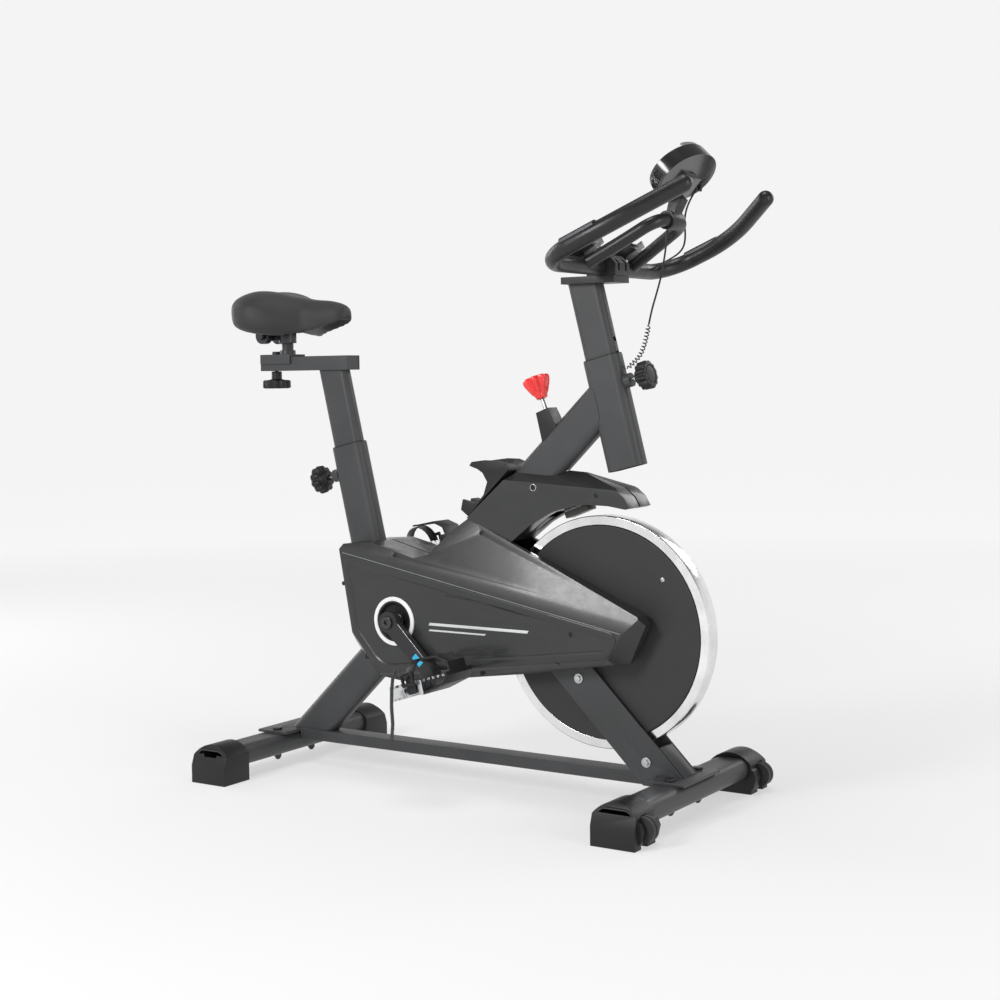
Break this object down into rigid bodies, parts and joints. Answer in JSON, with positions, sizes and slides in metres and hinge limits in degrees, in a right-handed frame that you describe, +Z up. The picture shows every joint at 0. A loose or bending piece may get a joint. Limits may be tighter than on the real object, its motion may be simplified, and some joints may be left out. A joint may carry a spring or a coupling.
{
  "type": "upright exercise bike",
  "caption": "Upright indoor exercise bike with a covered belt drive, front flywheel, friction brake, sliding saddle, height-adjustable posts and a bar with a display.",
  "frame": {"origin": "on the floor, midway along and across the whole bike", "axes": "+X forward, the way the rider faces; +Y to the rider's left; +Z up"},
  "size_m": [1.02, 0.49, 1.1168],
  "materials": {
    "frame_paint": "satin textured powder coat",
    "black_plastic": "satin moulded",
    "gloss_plastic": "glossy moulded",
    "grey_plastic": "satin moulded",
    "white_plastic": "glossy moulded",
    "red_plastic": "glossy moulded",
    "rubber": "matt",
    "belt": "ribbed",
    "steel": "bright zinc plated",
    "chrome": "polished",
    "dark_steel": "satin black",
    "cast_iron": "painted matt grey",
    "alloy": "tumbled",
    "cover_vinyl": "soft grained vinyl",
    "foam": "foam grip",
    "webbing": "woven webbing",
    "cable": "smooth sheath",
    "screen": "glossy window",
    "button_plastic": "soft touch"
  },
  "bodies": {
    "frame": {"main_tube": "frame_paint", "seat_sleeve": "frame_paint", "bar_sleeve": "frame_paint", "post_bushings": "black_plastic", "fork": "frame_paint", "axle_brackets": "frame_paint", "bearings": "steel", "base_tube": "frame_paint", "saddle_plates": "frame_paint", "stabilizers": "frame_paint", "feet": "black_plastic", "bottom_bracket_shell": "dark_steel", "drive_belt": "belt", "belt_cover_right": "gloss_plastic", "belt_cover_left": "gloss_plastic", "crank_rings": "white_plastic", "brake_cover": "gloss_plastic", "bottle_holder": "black_plastic", "tension_housing": "black_plastic", "fasteners": "steel", "curly_lead": "cable"},
    "wheel_right": {"transport_wheel_right": "rubber"},
    "wheel_left": {"transport_wheel_left": "rubber"},
    "flywheel": {"flywheel_rim": "chrome", "flywheel_disc": "cast_iron", "flywheel_side_plates": "dark_steel", "flywheel_shaft": "steel"},
    "crank": {"crank_spindle": "steel", "drive_pulley": "alloy", "crank_arms": "dark_steel"},
    "pedal_right_body": {"pedal_right": "alloy", "toe_cage_right": "black_plastic", "strap_tail": "webbing"},
    "pedal_left_body": {"pedal_left": "alloy", "toe_cage_left": "black_plastic"},
    "brake_rod": {"tension_rod": "steel"},
    "brake_knob": {"tension_knob": "red_plastic"},
    "seat_stem": {"seat_post": "frame_paint", "slider_tube": "frame_paint"},
    "seat_slider": {"slider_bracket": "dark_steel", "saddle_clamp": "dark_steel"},
    "slider_knob_body": {"slider_knob": "black_plastic"},
    "saddle_body": {"saddle": "cover_vinyl", "saddle_rails": "steel"},
    "seat_pin_body": {"seat_pin": "steel"},
    "seat_knob_body": {"seat_knob": "black_plastic"},
    "bar_stem": {"bar_post": "frame_paint", "bar_clamp": "grey_plastic", "handlebar": "foam", "inner_loop": "frame_paint", "pulse_sensors": "steel", "elbow_rests": "black_plastic", "console_housing": "gloss_plastic", "console_screen": "screen", "console_bracket": "black_plastic", "sensor_lead": "cable", "pulse_lead": "cable"},
    "bar_pin_body": {"bar_pin": "steel"},
    "bar_knob_body": {"bar_knob": "black_plastic"},
    "button": {"console_button": "button_plastic"}
  },
  "joints": [
    {"name": "wheel_right_spin", "type": "hinge", "parent": "frame", "child": "wheel_right", "pos_m": [0.4502, -0.214, 0.03], "axis": [0, 1, 0], "continuous": true},
    {"name": "wheel_left_spin", "type": "hinge", "parent": "frame", "child": "wheel_left", "pos_m": [0.4502, 0.214, 0.03], "axis": [0, 1, 0], "continuous": true},
    {"name": "flywheel_spin", "type": "hinge", "parent": "frame", "child": "flywheel", "pos_m": [0.2667, 0, 0.299], "axis": [0, 1, 0], "continuous": true},
    {"name": "crank_spin", "type": "hinge", "parent": "frame", "child": "crank", "pos_m": [-0.134, 0, 0.299], "axis": [0, 1, 0], "continuous": true},
    {"name": "pedal_right_spin", "type": "hinge", "parent": "crank", "child": "pedal_right_body", "pos_m": [-0.02917, -0.146, 0.19882], "axis": [0, 1, 0], "continuous": true},
    {"name": "pedal_left_spin", "type": "hinge", "parent": "crank", "child": "pedal_left_body", "pos_m": [-0.23883, 0.146, 0.39918], "axis": [0, 1, 0], "continuous": true},
    {"name": "brake_press", "type": "slide", "parent": "frame", "child": "brake_rod", "axis": [0.3584, 0, -0.9336], "range_m": [0, 0.0035], "stiffness_N_per_m": 1500, "springref_m": -0.004},
    {"name": "tension_turn", "type": "hinge", "parent": "brake_rod", "child": "brake_knob", "pos_m": [0.13397, 0, 0.71346], "axis": [-0.3584, 0, 0.9336], "range_deg": [-360, 360]},
    {"name": "seat_height", "type": "slide", "parent": "frame", "child": "seat_stem", "axis": [-0.225, 0, 0.9744], "range_m": [-0.1, 0.075]},
    {"name": "seat_fore_aft", "type": "slide", "parent": "seat_stem", "child": "seat_slider", "axis": [1, 0, 0], "range_m": [0, 0.06]},
    {"name": "slider_knob_turn", "type": "hinge", "parent": "seat_slider", "child": "slider_knob_body", "pos_m": [-0.464, 0, 0.735], "axis": [0, 0, 1], "range_deg": [-180, 180]},
    {"name": "saddle_tilt", "type": "hinge", "parent": "seat_slider", "child": "saddle_body", "pos_m": [-0.474, 0, 0.822], "axis": [0, 1, 0], "range_deg": [-12, 12]},
    {"name": "seat_pin_slide", "type": "slide", "parent": "frame", "child": "seat_pin_body", "axis": [-0.9744, 0, -0.225], "range_m": [-0.009, 0]},
    {"name": "seat_knob_turn", "type": "hinge", "parent": "seat_pin_body", "child": "seat_knob_body", "pos_m": [-0.35006, 0, 0.54739], "axis": [-0.9744, 0, -0.225], "range_deg": [-180, 180]},
    {"name": "bar_height", "type": "slide", "parent": "frame", "child": "bar_stem", "axis": [-0.2419, 0, 0.9703], "range_m": [-0.075, 0.025], "deforming": ["curly_lead"]},
    {"name": "bar_pin_slide", "type": "slide", "parent": "frame", "child": "bar_pin_body", "axis": [0.9703, 0, 0.2419], "range_m": [-0.009, 0]},
    {"name": "bar_knob_turn", "type": "hinge", "parent": "bar_pin_body", "child": "bar_knob_body", "pos_m": [0.34177, 0, 0.73539], "axis": [0.9703, 0, 0.2419], "range_deg": [-180, 180]},
    {"name": "button_press", "type": "slide", "parent": "bar_stem", "child": "button", "axis": [0.7071, 0, -0.7071], "range_m": [0, 0.0015], "stiffness_N_per_m": 600}
  ],
  "couplings": [
    {"joint": "crank_spin", "follows": "flywheel_spin", "ratio": 0.2619}
  ]
}
